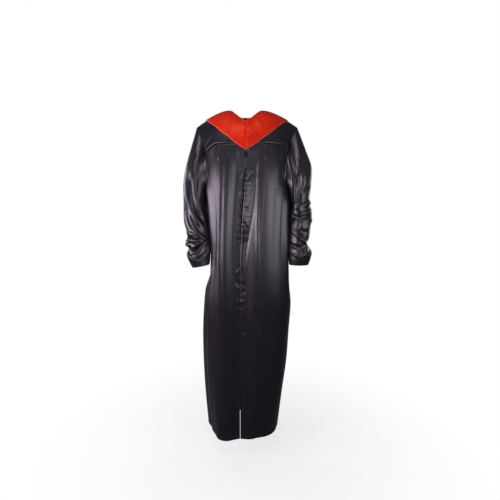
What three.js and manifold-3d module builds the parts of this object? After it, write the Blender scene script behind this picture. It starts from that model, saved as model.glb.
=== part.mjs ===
// A graduation gown with a V-shaped collar, held hollow as it is worn: gathered fronts and back on a
// yoke, long sleeves drawn in at the cuffs, and a centre-front zip that stops short of the hem.
// Millimetres. The origin is the middle of the neck base, level with the tops of the shoulders.
// +Z is up, the wearer faces -Y, and +X is the wearer's left.
import * as THREE from 'three';
import { mergeVertices } from 'three/addons/utils/BufferGeometryUtils.js';
import Module from 'manifold-3d';

const wasm = await Module();
wasm.setup();

// ---- Driving dimensions ----
const CLOTH = 2;                 // cloth wall, with its seam allowances and hems
const SEAM_PULL = 0.17;          // each edge stands back this far, so a seam is a gap of twice it
const SAME_FACE = 0.15;          // walls whose normals agree by this much share a seam
const HEM_DROP = 1363;           // tops of the shoulders down to the hem
const UNDERARM_DROP = 320;
const YOKE_SEAM_DROP = 148;      // front yoke seam below the tops of the shoulders
const BACK_YOKE_DROP = 196;
const NECK_HALF_WIDTH = 66;
const NECK_FRONT_DROP = 61;      // bottom of the V neckline
const NECK_BACK_DROP = 16;
const SHOULDER_DROP = 65;        // shoulder point below the neck point
const SHOULDER_CURVE = 1.55;     // how the shoulder line falls away from the neck
const ZIP_TOP = 178;             // closed chain, from below the collar's point
const ZIP_END = 1138;
const ZIP_DRIFT = 24;            // the zip hangs this far to the wearer's right below the waist
const ZIP_HALF_GAP = 2.7;        // each front stops this far from the zip's centre line
const COLLAR_POINT_DROP = { front: 172, back: 128 };
const COLLAR_CLEAR = 3.6;        // collar above the yoke, away from the neck edge
const COLLAR_NECK_CLEAR = 0.5;   // and where it is sewn in at the neckline
const TAPE_DEPTHS = [2.4, 3.4];  // faces of the zip's tapes, behind the face of the fronts
const TAPE_REACH = 13;           // outer edge of each tape from the zip's centre line
const CHAIN_HALF_WIDTH = 2.3;
const CHAIN_PROUD = 0.3;
const RUNNING_GAP = 0.5;         // slider to chain and tapes
const STOP_HEIGHT = 4;
const SLIDER = {
  width: 8, height: 12, plate: 1.2, backGap: 1.8, neck: 2.4, bridgeWidth: 2.4, bridgeReach: 3.6,
  bridgeHeight: 6, bar: 1,
};
const PULL = {
  width: 6.4, endWidth: 5, length: 25, thick: 1.2, windowWidth: 3.8, windowHeight: 7,
  barHeight: 1.4, clear: 0.7,
};

// What differs between the wearer's right and left sides.
const SIDES = {
  right: { sign: -1, shoulder: 204, seamEnd: 179, seamTurn: 34, collarOut: 166 },
  left: { sign: 1, shoulder: 214, seamEnd: 153, seamTurn: 48, collarOut: 174 },
};

// Level sections of the body. drop is the distance down; frontPower and backPower square the
// corners off, 2 being an ellipse.
const BODY = [
  { drop: 140, right: 176, left: 178, front: 108, back: 100, frontPower: 2.5, backPower: 2.4 },
  { drop: 240, right: 164, left: 170, front: 113, back: 108, frontPower: 2.9, backPower: 2.5 },
  { drop: 320, right: 154, left: 163, front: 114, back: 111, frontPower: 3.1, backPower: 2.5 },
  { drop: 450, right: 145, left: 161, front: 113, back: 109, frontPower: 3.1, backPower: 2.5 },
  { drop: 570, right: 143, left: 166, front: 112, back: 112, frontPower: 3.0, backPower: 2.5 },
  { drop: 680, right: 152, left: 180, front: 112, back: 118, frontPower: 2.8, backPower: 2.4 },
  { drop: 793, right: 165, left: 189, front: 113, back: 124, frontPower: 2.6, backPower: 2.3 },
  { drop: 927, right: 173, left: 181, front: 114, back: 127, frontPower: 2.4, backPower: 2.2 },
  { drop: 1062, right: 172, left: 172, front: 116, back: 128, frontPower: 2.3, backPower: 2.2 },
  { drop: 1200, right: 166, left: 154, front: 117, back: 129, frontPower: 2.2, backPower: 2.2 },
  { drop: 1363, right: 153, left: 134, front: 117, back: 130, frontPower: 2.1, backPower: 2.1 },
];

// The largest folds of the body. angle is from the centre front, positive to the wearer's left;
// half is the half width in degrees, out is how far the crest stands out, over the drops from..to.
const BODY_FOLDS = [
  { angle: 0, half: 15, out: -16, from: 150, to: 1500, fade: 120 },
  { angle: -54, half: 13, out: 22, from: 215, to: 720, fade: 120, fadeOut: 320 },
  { angle: -58, half: 12, out: 6, from: 560, to: 1000, fade: 120 },
  { angle: -80, half: 10, out: -7, from: 640, to: 1000, fade: 80 },
  { angle: -105, half: 24, out: 24, from: 640, to: 1500, fade: 120 },
  { angle: -36, half: 11, out: 5, from: 150, to: 1500, fade: 90 },
  { angle: -30, half: 30, out: 14, from: 1000, to: 1600, fade: 300 },
  { angle: 54, half: 12, out: 30, from: 262, to: 800, fade: 130, fadeOut: 290 },
  { angle: 30, half: 26, out: -10, from: 1000, to: 1600, fade: 300 },
  { angle: 13, half: 9, out: 6, from: 170, to: 900, fade: 120 },
  { angle: 40, half: 12, out: 5, from: 150, to: 1500, fade: 90 },
  { angle: 98, half: 16, out: 8, from: 700, to: 1500, fade: 120 },
  { angle: 180, half: 12, out: -8, from: 210, to: 1600, fade: 130 },
  { angle: 155, half: 12, out: 10, from: 200, to: 1600, fade: 130 },
  { angle: -155, half: 12, out: 9, from: 200, to: 1600, fade: 130 },
  { angle: 130, half: 12, out: -6, from: 230, to: 1600, fade: 130 },
  { angle: -130, half: 12, out: -6, from: 230, to: 1600, fade: 130 },
  { angle: 112, half: 10, out: 8, from: 420, to: 1600, fade: 150 },
];

// The edge of the armhole on the body, as angles from the centre front.
const ARMHOLE = [
  { drop: 140, front: 79, back: 106 },
  { drop: 195, front: 72, back: 110 },
  { drop: 240, front: 64, back: 113 },
  { drop: 285, front: 68, back: 109 },
  { drop: 320, front: 90, back: 90 },
];

// Sections of the sleeves, from the armhole (step 0) to the cuff (step 12). outer and inner are the
// points furthest from and nearest to the body; depth is half the section's size, front to back.
const SLEEVE = {
  right: [
    { step: 0, outerX: 204, outerDrop: 65, innerX: 154, innerDrop: 320, depth: 76, y: 0 },
    { step: 1, outerX: 217, outerDrop: 112, innerX: 161, innerDrop: 346, depth: 76, y: -2 },
    { step: 2, outerX: 233, outerDrop: 166, innerX: 162, innerDrop: 373, depth: 73, y: -7 },
    { step: 3, outerX: 250, outerDrop: 226, innerX: 160, innerDrop: 402, depth: 69, y: -13 },
    { step: 4, outerX: 261, outerDrop: 296, innerX: 153, innerDrop: 432, depth: 65, y: -20 },
    { step: 5, outerX: 260, outerDrop: 370, innerX: 149, innerDrop: 466, depth: 61, y: -28 },
    { step: 6, outerX: 257, outerDrop: 448, innerX: 148, innerDrop: 502, depth: 56, y: -38 },
    { step: 7, outerX: 241, outerDrop: 506, innerX: 147, innerDrop: 536, depth: 51, y: -46 },
    { step: 8, outerX: 251, outerDrop: 534, innerX: 147, innerDrop: 556, depth: 52, y: -50 },
    { step: 9, outerX: 237, outerDrop: 559, innerX: 147, innerDrop: 575, depth: 47, y: -53 },
    { step: 10, outerX: 244, outerDrop: 586, innerX: 147, innerDrop: 595, depth: 47, y: -56 },
    { step: 11, outerX: 236, outerDrop: 612, innerX: 148, innerDrop: 614, depth: 42, y: -59 },
    { step: 12, outerX: 221, outerDrop: 641, innerX: 150, innerDrop: 628, depth: 37, y: -62 },
  ],
  left: [
    { step: 0, outerX: 214, outerDrop: 65, innerX: 163, innerDrop: 320, depth: 76, y: 0 },
    { step: 1, outerX: 231, outerDrop: 110, innerX: 170, innerDrop: 346, depth: 79, y: -2 },
    { step: 2, outerX: 250, outerDrop: 162, innerX: 172, innerDrop: 373, depth: 76, y: -6 },
    { step: 3, outerX: 274, outerDrop: 232, innerX: 171, innerDrop: 402, depth: 70, y: -11 },
    { step: 4, outerX: 271, outerDrop: 310, innerX: 170, innerDrop: 432, depth: 65, y: -17 },
    { step: 5, outerX: 264, outerDrop: 374, innerX: 170, innerDrop: 466, depth: 61, y: -24 },
    { step: 6, outerX: 274, outerDrop: 412, innerX: 171, innerDrop: 500, depth: 60, y: -33 },
    { step: 7, outerX: 268, outerDrop: 474, innerX: 172, innerDrop: 534, depth: 54, y: -41 },
    { step: 8, outerX: 261, outerDrop: 520, innerX: 173, innerDrop: 556, depth: 50, y: -46 },
    { step: 9, outerX: 254, outerDrop: 542, innerX: 174, innerDrop: 574, depth: 46, y: -50 },
    { step: 10, outerX: 269, outerDrop: 578, innerX: 176, innerDrop: 592, depth: 48, y: -53 },
    { step: 11, outerX: 267, outerDrop: 604, innerX: 177, innerDrop: 610, depth: 44, y: -56 },
    { step: 12, outerX: 258, outerDrop: 630, innerX: 179, innerDrop: 630, depth: 38, y: -58 },
  ],
};

// How finely the cloth is divided.
const FRONT_COLUMNS = 12;
const BACK_COLUMNS = 24;
const ARMHOLE_ROWS = 5;
const SKIRT_ROWS = 14;
const YOKE_ROWS = 4;
const NECK_COLUMNS = 3;
const SLEEVE_RINGS = 22;
const COLLAR_COLUMNS = 9;
const COLLAR_ROWS = 5;
const COLLAR_CROWDING = 1.4;       // draws the collar's columns together near the shoulder line

// ---- Materials ----
const blackSatin = new THREE.MeshStandardMaterial({ color: 0x1b191e, roughness: 0.36 });
const redSatin = new THREE.MeshStandardMaterial({ color: 0xd23a20, roughness: 0.4 });
const zipTape = new THREE.MeshStandardMaterial({ color: 0x121214, roughness: 0.75 });
const zipMetal = new THREE.MeshStandardMaterial({ color: 0x1a1a1c, roughness: 0.4, metalness: 0.6 });

const { lerp, clamp, smoothstep, degToRad, radToDeg } = THREE.MathUtils;

// Reads every column of a table at one place, on a smooth curve through its rows.
function readTable(table, key, at) {
  const last = table.length - 1;
  let i = 0;
  while (i < last - 1 && at > table[i + 1][key]) i += 1;
  const [before, a, b, after] = [i - 1, i, i + 1, i + 2].map((k) => table[clamp(k, 0, last)]);
  const span = b[key] - a[key];
  const t = clamp((at - a[key]) / span, 0, 1);
  const found = {};
  for (const column of Object.keys(a)) {
    const slopeA = ((b[column] - before[column]) / (b[key] - before[key])) * span;
    const slopeB = ((after[column] - a[column]) / (after[key] - a[key])) * span;
    const rise = b[column] - a[column];
    found[column] = a[column] + slopeA * t + (3 * rise - 2 * slopeA - slopeB) * t * t
      + (slopeA + slopeB - 2 * rise) * t * t * t;
  }
  return found;
}

// ---- Body surface ----
function foldHeight(angle, drop) {
  let out = 0;
  for (const fold of BODY_FOLDS) {
    const away = Math.abs(((angle - fold.angle + 540) % 360) - 180) / fold.half;
    const along = smoothstep(drop, fold.from, fold.from + fold.fade)
      * (1 - smoothstep(drop, fold.to - (fold.fadeOut ?? fold.fade), fold.to));
    if (away < 1) out += fold.out * Math.cos((away * Math.PI) / 2) ** 2 * along;
  }
  return out;
}

// A point on the outside of the body. Angle 0 is the zip's line, which drifts to the right.
function bodyPoint(angle, drop) {
  const section = readTable(BODY, 'drop', drop);
  const side = Math.sin(degToRad(angle));
  const ahead = Math.cos(degToRad(angle));
  const width = side < 0 ? section.right : section.left;
  const depth = ahead > 0 ? section.front : section.back;
  const square = 2 / (ahead > 0 ? section.frontPower : section.backPower);
  const x = width * Math.sign(side) * Math.abs(side) ** square;
  const y = -depth * Math.sign(ahead) * Math.abs(ahead) ** square;
  const grow = 1 + foldHeight(angle, drop) / Math.hypot(x, y);
  const drift = -ZIP_DRIFT * smoothstep(drop, 170, 650) * Math.max(ahead, 0) ** 3;
  return new THREE.Vector3(x * grow + drift, y * grow, -drop);
}

// The angle at which the body's outline is a given distance to the side of the zip's line.
function angleAcross(distance, drop, side) {
  const section = readTable(BODY, 'drop', drop);
  return radToDeg(Math.asin((distance / section[side]) ** (section.frontPower / 2)));
}

function frontSeamDrop(side, angle) {
  const { seamEnd, seamTurn } = SIDES[side];
  return lerp(YOKE_SEAM_DROP, seamEnd, smoothstep(angle, seamTurn, 72));
}

// How far down each row of a body panel lies: rows to the underarm, then rows to the hem.
function rowDrop(row, top, sideTop) {
  if (row >= ARMHOLE_ROWS) {
    return lerp(UNDERARM_DROP, HEM_DROP, (row - ARMHOLE_ROWS) / SKIRT_ROWS);
  }
  const done = row / ARMHOLE_ROWS;
  return lerp(sideTop, UNDERARM_DROP, done) + (top - sideTop) * (1 - done);
}

function frontGrid(side) {
  const { sign, seamEnd } = SIDES[side];
  const seamEdge = readTable(ARMHOLE, 'drop', seamEnd).front;
  const grid = [];
  for (let row = 0; row <= ARMHOLE_ROWS + SKIRT_ROWS; row += 1) {
    const edgeDrop = rowDrop(row, seamEnd, seamEnd);
    const edge = row >= ARMHOLE_ROWS ? 90 : readTable(ARMHOLE, 'drop', edgeDrop).front;
    const points = [];
    for (let column = 0; column <= FRONT_COLUMNS; column += 1) {
      const share = column / FRONT_COLUMNS;
      const drop = rowDrop(row, frontSeamDrop(side, share * seamEdge), seamEnd);
      const start = angleAcross(ZIP_HALF_GAP, drop, side);
      points.push(bodyPoint(sign * lerp(start, edge, share), drop));
    }
    grid.push(points);
  }
  return grid;
}

function backGrid() {
  const grid = [];
  for (let row = 0; row <= ARMHOLE_ROWS + SKIRT_ROWS; row += 1) {
    const drop = rowDrop(row, BACK_YOKE_DROP, BACK_YOKE_DROP);
    const edge = row >= ARMHOLE_ROWS ? 90 : readTable(ARMHOLE, 'drop', drop).back;
    const points = [];
    for (let column = 0; column <= BACK_COLUMNS; column += 1) {
      points.push(bodyPoint(lerp(-edge, edge - 360, column / BACK_COLUMNS), drop));
    }
    grid.push(points);
  }
  return grid;
}

// ---- Shoulder surface ----
// One profile of a yoke: its point on the yoke seam, and its point on the shoulder line. across runs
// 0 at the centre, 1 at the neck point and 2 at the armhole.
function yokeProfile(side, face, across) {
  const { sign, shoulder, seamEnd } = SIDES[side];
  const ahead = face === 'front';
  const endDrop = ahead ? seamEnd : BACK_YOKE_DROP;
  const armhole = readTable(ARMHOLE, 'drop', endDrop);
  const edge = ahead ? armhole.front : 180 - armhole.back;
  const neckAngle = (edge * NECK_COLUMNS) / FRONT_COLUMNS;
  const turn = across < 1 ? neckAngle * across : lerp(neckAngle, edge, across - 1);
  const seamDrop = ahead ? frontSeamDrop(side, turn) : BACK_YOKE_DROP;
  const seam = bodyPoint(sign * (ahead ? turn : 180 - turn), seamDrop);
  const topX = across < 1 ? NECK_HALF_WIDTH * across : lerp(NECK_HALF_WIDTH, shoulder, across - 1);
  const topDrop = Math.max(across - 1, 0) ** SHOULDER_CURVE * SHOULDER_DROP;
  return { seam, seamDrop, topX: sign * topX, topDrop };
}

// A point on a yoke. Each profile is an arch: up is 0 at the yoke seam and 1 at the shoulder line,
// and below the seam it goes on straight down.
function yokePoint(side, face, across, up) {
  const { seam, seamDrop, topX, topDrop } = yokeProfile(side, face, across);
  if (up < 0) return seam.setZ(-seamDrop * (1 - up));
  const rise = Math.sin((up * Math.PI) / 2);
  const reach = Math.cos((up * Math.PI) / 2);
  return new THREE.Vector3(
    lerp(seam.x, topX, rise ** 1.5),
    seam.y * reach,
    lerp(-seamDrop, -topDrop, rise),
  );
}

// How far up a profile a given drop lies.
function upAtDrop(side, face, across, drop) {
  const { seamDrop, topDrop } = yokeProfile(side, face, across);
  if (drop > seamDrop) return 1 - drop / seamDrop;
  return (Math.asin(Math.min((seamDrop - drop) / (seamDrop - topDrop), 1)) * 2) / Math.PI;
}

// Where the neckline cuts the arch: the front is a V, the back a shallow curve.
function neckUp(side, face, across) {
  if (across >= 1) return 1;
  const drop = face === 'front' ? NECK_FRONT_DROP * (1 - across) : NECK_BACK_DROP * (1 - across ** 2);
  return upAtDrop(side, face, across, drop);
}

function yokeGrid(side, face) {
  const grid = [];
  for (let row = 0; row <= YOKE_ROWS; row += 1) {
    const points = [];
    for (let column = 0; column <= FRONT_COLUMNS; column += 1) {
      const across = column < NECK_COLUMNS ? column / NECK_COLUMNS
        : 1 + (column - NECK_COLUMNS) / (FRONT_COLUMNS - NECK_COLUMNS);
      const up = neckUp(side, face, across) * (1 - row / YOKE_ROWS);
      points.push(yokePoint(side, face, across, up));
    }
    grid.push(points);
  }
  return grid;
}

// The collar lies on the yokes. Its neck edge follows the neckline, and its outer edge runs straight
// from the shoulder line to a point at the centre, deep in front and shallower behind.
function collarPoint(side, face, along, out) {
  const { shoulder, collarOut } = SIDES[side];
  const acrossAt = (x) => (x < NECK_HALF_WIDTH ? x / NECK_HALF_WIDTH
    : 1 + (x - NECK_HALF_WIDTH) / (shoulder - NECK_HALF_WIDTH));
  const outerAcross = acrossAt(collarOut * (1 - along));
  const startDrop = yokeProfile(side, face, acrossAt(collarOut)).topDrop;
  const outerUp = upAtDrop(side, face, outerAcross, lerp(startDrop, COLLAR_POINT_DROP[face], along));
  const neckAcross = 1 - along;
  const across = lerp(neckAcross, outerAcross, out);
  const up = lerp(neckUp(side, face, neckAcross), along === 0 ? 1 : outerUp, out);
  return yokePoint(side, face, across, up);
}

function collarGrid(side, face) {
  const grid = [];
  for (let row = 0; row <= COLLAR_ROWS; row += 1) {
    const points = [];
    for (let column = 0; column <= COLLAR_COLUMNS; column += 1) {
      const along = (1 - column / COLLAR_COLUMNS) ** COLLAR_CROWDING;
      points.push(collarPoint(side, face, along, row / COLLAR_ROWS));
    }
    grid.push(points);
  }
  return grid;
}

// ---- Cloth walls ----
// Surface normals of a grid, all on the side away from a point inside the hollow.
function gridNormals(grid, inside, closed) {
  const rows = grid.length;
  const columns = grid[0].length;
  const across = (row, column) => {
    const at = (k) => (closed ? (k + columns) % columns : clamp(k, 0, columns - 1));
    return grid[row][at(column + 1)].clone().sub(grid[row][at(column - 1)]);
  };
  let away = 0;
  const normals = grid.map((points, row) => points.map((point, column) => {
    const down = grid[Math.min(row + 1, rows - 1)][column].clone()
      .sub(grid[Math.max(row - 1, 0)][column]);
    const normal = across(row, column).cross(down).normalize();
    away += normal.dot(point.clone().sub(inside));
    return normal;
  }));
  if (away < 0) normals.flat().forEach((normal) => normal.negate());
  return normals;
}

// Edge points of a grid, each with the point next to it on the way in.
function edgePoints(grid, closed) {
  const edges = [];
  const lastRow = grid.length - 1;
  const lastColumn = grid[0].length - 1;
  grid.forEach((points, row) => points.forEach((point, column) => {
    const inRow = clamp(row, 1, lastRow - 1);
    const inColumn = closed ? column : clamp(column, 1, lastColumn - 1);
    if (inRow !== row || inColumn !== column) edges.push({ row, column, inRow, inColumn });
  }));
  return edges;
}

// Edges that meet at a seam lean the same way through the cloth, so the walls don't cross. Under the
// arm, where the sleeve doubles back along the body, the two face apart and keep their own normals.
function matchSeams(cloths) {
  const edges = cloths.flatMap((cloth) => edgePoints(cloth.grid, cloth.closed).map((edge) => ({
    point: cloth.grid[edge.row][edge.column],
    normal: cloth.normals[edge.row][edge.column],
  })));
  const shared = edges.map(({ point, normal }) => {
    const sum = new THREE.Vector3();
    edges.forEach((other) => {
      const meets = other.point.distanceTo(point) < 1;
      if (meets && other.normal.dot(normal) > SAME_FACE) sum.add(other.normal);
    });
    return sum.normalize();
  });
  edges.forEach((edge, i) => edge.normal.copy(shared[i]));
}

// Draws every edge of a grid back a little, which leaves the seam's gap.
function drawBackEdges(cloth) {
  const moved = edgePoints(cloth.grid, cloth.closed).map(({ row, column, inRow, inColumn }) => {
    const point = cloth.grid[row][column];
    const step = cloth.grid[inRow][inColumn].clone().sub(point).normalize();
    const corner = inRow !== row && inColumn !== column ? Math.SQRT2 : 1;
    return [point, step.multiplyScalar(SEAM_PULL * corner)];
  });
  moved.forEach(([point, step]) => point.add(step));
}

// A closed wall between two grids of equal size, with rims round its edges.
function wallGeometry(outer, inner, closed) {
  const rows = outer.length;
  const columns = outer[0].length;
  const layer = rows * columns;
  const position = [...outer.flat(), ...inner.flat()].flatMap((point) => point.toArray());
  const index = [];
  const quad = (a, b, c, d) => index.push(a, b, c, a, c, d);
  const at = (row, column) => row * columns + (column % columns);
  const spans = closed ? columns : columns - 1;
  for (let row = 0; row < rows - 1; row += 1) {
    for (let column = 0; column < spans; column += 1) {
      const corners = [at(row, column), at(row + 1, column), at(row + 1, column + 1), at(row, column + 1)];
      quad(...corners);
      const [a, b, c, d] = corners.map((corner) => corner + layer);
      index.push(a, c, b, a, d, c);
    }
  }
  for (let column = 0; column < spans; column += 1) {
    const [a, b] = [at(0, column), at(0, column + 1)];
    const [c, d] = [at(rows - 1, column), at(rows - 1, column + 1)];
    quad(b, b + layer, a + layer, a);
    quad(c, c + layer, d + layer, d);
  }
  for (let row = 0; row < rows - 1 && !closed; row += 1) {
    const [a, b] = [at(row, 0), at(row + 1, 0)];
    const [c, d] = [at(row, columns - 1), at(row + 1, columns - 1)];
    quad(a, a + layer, b + layer, b);
    quad(d, d + layer, c + layer, c);
  }
  const geometry = new THREE.BufferGeometry();
  geometry.setAttribute('position', new THREE.Float32BufferAttribute(position, 3));
  geometry.setIndex(index);
  return facingOut(geometry);
}

// Turns a closed mesh the right way out if its volume comes out negative.
function facingOut(geometry) {
  const { array } = geometry.getAttribute('position');
  const corners = geometry.getIndex().array;
  const corner = (i) => new THREE.Vector3().fromArray(array, corners[i] * 3);
  let volume = 0;
  for (let i = 0; i < corners.length; i += 3) {
    volume += corner(i).dot(corner(i + 1).cross(corner(i + 2)));
  }
  if (volume < 0) {
    for (let i = 0; i < corners.length; i += 3) {
      [corners[i], corners[i + 1]] = [corners[i + 1], corners[i]];
    }
  }
  geometry.computeVertexNormals();
  return geometry;
}

function moveAlong(grid, normals, amount) {
  const by = typeof amount === 'function' ? amount : () => amount;
  return grid.map((points, row) => points.map((point, column) => (
    point.clone().addScaledVector(normals[row][column], by(row, column)))));
}

// ---- Sleeves ----
// The armhole's edge, from the shoulder point down the front, round the underarm and up the back.
function armholeLoop(side, front, back) {
  const loop = [];
  for (let row = 0; row <= YOKE_ROWS; row += 1) {
    loop.push(yokePoint(side, 'front', 2, 1 - row / YOKE_ROWS));
  }
  const backColumn = side === 'right' ? 0 : BACK_COLUMNS;
  for (let row = 1; row <= ARMHOLE_ROWS; row += 1) loop.push(front[row][FRONT_COLUMNS].clone());
  for (let row = ARMHOLE_ROWS - 1; row >= 0; row -= 1) loop.push(back[row][backColumn].clone());
  for (let row = YOKE_ROWS - 1; row > 0; row -= 1) {
    loop.push(yokePoint(side, 'back', 2, 1 - row / YOKE_ROWS));
  }
  return loop;
}

function sleevePoint(side, step, angle) {
  const { sign } = SIDES[side];
  const section = readTable(SLEEVE[side], 'step', step);
  const outer = new THREE.Vector3(sign * section.outerX, section.y, -section.outerDrop);
  const inner = new THREE.Vector3(sign * section.innerX, section.y, -section.innerDrop);
  const centre = outer.clone().add(inner).multiplyScalar(0.5);
  centre.addScaledVector(outer.sub(inner), Math.cos(angle) / 2);
  centre.y -= section.depth * Math.sin(angle);
  return centre;
}

function sleeveGrid(side, loop) {
  const headSteps = 3;
  const grid = [];
  for (let ring = 0; ring <= SLEEVE_RINGS; ring += 1) {
    const step = (ring / SLEEVE_RINGS) * 12;
    const head = Math.max(1 - step / headSteps, 0) ** 2;
    grid.push(loop.map((edge, k) => {
      const angle = (k / loop.length) * Math.PI * 2;
      const point = sleevePoint(side, step, angle);
      return point.addScaledVector(edge.clone().sub(sleevePoint(side, 0, angle)), head);
    }));
  }
  return grid;
}

// ---- Putting the cloth together ----
const gown = new THREE.Group();
function addPiece(name, geometry, material) {
  const mesh = new THREE.Mesh(geometry, material);
  mesh.name = name;
  gown.add(mesh);
}

const torsoInside = new THREE.Vector3(0, 0, -600);
const shoulderInside = new THREE.Vector3(0, 0, -260);
function makeCloth(name, grid, inside, closed = false) {
  return { name, grid, closed, normals: gridNormals(grid, inside, closed) };
}

// Both halves of a piece that runs across the centre back, as one grid.
function joinHalves(right, left) {
  return right.map((points, row) => [...points.slice(1).reverse(), ...left[row]]);
}

const back = makeCloth('back', backGrid(), torsoInside);
const blackCloths = [back];
const fronts = {};
for (const side of Object.keys(SIDES)) {
  fronts[side] = makeCloth(`front_${side}`, frontGrid(side), torsoInside);
  const loop = armholeLoop(side, fronts[side].grid, back.grid);
  const sleeve = sleeveGrid(side, loop);
  const middle = sleeve.flat().reduce((sum, point) => sum.add(point), new THREE.Vector3());
  middle.divideScalar(sleeve.length * loop.length);
  blackCloths.push(
    fronts[side],
    makeCloth(`yoke_front_${side}`, yokeGrid(side, 'front'), shoulderInside),
    makeCloth(`sleeve_${side}`, sleeve, middle, true),
  );
}
blackCloths.push(makeCloth(
  'yoke_back',
  joinHalves(yokeGrid('right', 'back'), yokeGrid('left', 'back')),
  shoulderInside,
));
matchSeams(blackCloths);

// The zip's strips are taken from the fronts' own points, before those are drawn back at the seams:
// distances are from the zip's line, and depth is how far behind the front's face.
const frontDrops = fronts.right.grid.map((points) => -points[0].z);
const chainFirst = frontDrops.findIndex((drop) => drop >= ZIP_TOP);
const chainLast = frontDrops.findIndex((drop) => drop >= ZIP_END);
function zipPoints(side, distance, depth, first) {
  const { grid, normals } = fronts[side];
  return grid.slice(first, chainLast + 1).map(([edge, next], k) => {
    const share = (distance - ZIP_HALF_GAP) / Math.abs(next.x - edge.x);
    return edge.clone().lerp(next, share).addScaledVector(normals[first + k][0], -depth);
  });
}

function zipStrip(left, right, depths, first) {
  const [outer, inner] = depths.map((depth) => {
    const a = zipPoints(left.side, left.distance, depth, first);
    const b = zipPoints(right.side, right.distance, depth, first);
    return a.map((point, k) => [point, b[k]]);
  });
  return wallGeometry(outer, inner, false);
}

for (const side of Object.keys(SIDES)) {
  const edges = [ZIP_HALF_GAP, TAPE_REACH].map((distance) => ({ side, distance }));
  addPiece(`zip_tape_${side}`, zipStrip(...edges, TAPE_DEPTHS, 0), zipTape);
}
addPiece('zip_chain', zipStrip(
  { side: 'right', distance: CHAIN_HALF_WIDTH },
  { side: 'left', distance: CHAIN_HALF_WIDTH },
  [-CHAIN_PROUD, TAPE_DEPTHS[1]],
  chainFirst,
), zipTape);
const chainEnds = [chainFirst, chainLast].map((row) => fronts.right.grid[row][0].clone()
  .add(fronts.left.grid[row][0]).multiplyScalar(0.5));

for (const cloth of blackCloths) {
  drawBackEdges(cloth);
  const inner = moveAlong(cloth.grid, cloth.normals, () => -CLOTH);
  addPiece(cloth.name, wallGeometry(cloth.grid, inner, cloth.closed), blackSatin);
}

const collars = [
  makeCloth('collar_front_right', collarGrid('right', 'front'), shoulderInside),
  makeCloth('collar_front_left', collarGrid('left', 'front'), shoulderInside),
  makeCloth(
    'collar_back',
    joinHalves(collarGrid('right', 'back'), collarGrid('left', 'back')),
    shoulderInside,
  ),
];
matchSeams(collars);
for (const collar of collars) {
  drawBackEdges(collar);
  const clear = (row) => lerp(COLLAR_NECK_CLEAR, COLLAR_CLEAR, Math.min(row, 1));
  const inner = moveAlong(collar.grid, collar.normals, clear);
  const outer = moveAlong(collar.grid, collar.normals, (row) => clear(row) + CLOTH);
  addPiece(collar.name, wallGeometry(outer, inner, false), redSatin);
}

// ---- Zip slider, pull tab and bottom stop ----
function box(width, depth, height, x, y, z) {
  return new THREE.BoxGeometry(width, depth, height).translate(x, y, z);
}

// Joins overlapping geometries into one solid.
function fuse(geometries) {
  const solids = geometries.map((geometry) => {
    const bare = geometry.clone();
    bare.deleteAttribute('normal');
    bare.deleteAttribute('uv');
    const merged = mergeVertices(bare);
    return new wasm.Manifold(new wasm.Mesh({
      numProp: 3,
      vertProperties: merged.getAttribute('position').array,
      triVerts: new Uint32Array(merged.getIndex().array),
    }));
  });
  const mesh = solids.reduce((sum, solid) => sum.add(solid)).getMesh();
  const geometry = new THREE.BufferGeometry();
  geometry.setAttribute('position', new THREE.Float32BufferAttribute(mesh.vertProperties, 3));
  geometry.setIndex([...mesh.triVerts]);
  geometry.computeVertexNormals();
  return geometry;
}

// Two plates, one before the chain and one behind the tapes, joined by a neck above the chain, with
// a bridge on the front plate that the pull hangs from.
function sliderGeometry(top) {
  const {
    width, height, plate, backGap, neck, bridgeWidth, bridgeReach, bridgeHeight, bar,
  } = SLIDER;
  const middleZ = top.z + neck + RUNNING_GAP - height / 2;
  const frontY = top.y - CHAIN_PROUD - RUNNING_GAP - plate / 2;
  const backY = top.y + TAPE_DEPTHS[1] + backGap + plate / 2;
  const bridgeZ = top.z + neck + RUNNING_GAP - bridgeHeight / 2;
  const leg = (z) => box(bridgeWidth, bridgeReach, bar, top.x, frontY - bridgeReach / 2, z);
  return fuse([
    box(width, plate, height, top.x, frontY, middleZ),
    box(width, plate, height, top.x, backY, middleZ),
    box(2 * (CHAIN_HALF_WIDTH - RUNNING_GAP), backY - frontY, neck, top.x, (frontY + backY) / 2,
      top.z + RUNNING_GAP + neck / 2),
    leg(bridgeZ + (bridgeHeight - bar) / 2),
    leg(bridgeZ - (bridgeHeight - bar) / 2),
    box(bridgeWidth, bar, bridgeHeight, top.x, frontY - bridgeReach, bridgeZ),
  ]);
}

// The pull is a tapered plate with a window. The bar above the window turns inside the bridge.
function pullGeometry(top) {
  const { neck, plate, bridgeHeight, bar } = SLIDER;
  const { width, endWidth, length, thick, windowWidth, windowHeight, barHeight } = PULL;
  const hingeZ = top.z + neck + RUNNING_GAP - bar - PULL.clear - barHeight / 2;
  const hingeY = top.y - CHAIN_PROUD - RUNNING_GAP - plate - PULL.clear - thick / 2;
  const outline = new THREE.Shape();
  outline.moveTo(-width / 2, barHeight / 2);
  outline.lineTo(-endWidth / 2, endWidth / 2 - length);
  outline.absarc(0, endWidth / 2 - length, endWidth / 2, Math.PI, Math.PI * 2, false);
  outline.lineTo(width / 2, barHeight / 2);
  const opening = new THREE.Path();
  opening.moveTo(-windowWidth / 2, -barHeight / 2);
  opening.lineTo(windowWidth / 2, -barHeight / 2);
  opening.lineTo(windowWidth / 2, -barHeight / 2 - windowHeight);
  opening.lineTo(-windowWidth / 2, -barHeight / 2 - windowHeight);
  outline.holes.push(opening);
  const settings = { depth: thick, bevelEnabled: false, curveSegments: 8 };
  const geometry = new THREE.ExtrudeGeometry(outline, settings);
  geometry.translate(0, 0, -thick / 2).rotateX(Math.PI / 2);
  return fuse([geometry.translate(top.x, hingeY, hingeZ)]);
}

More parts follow.
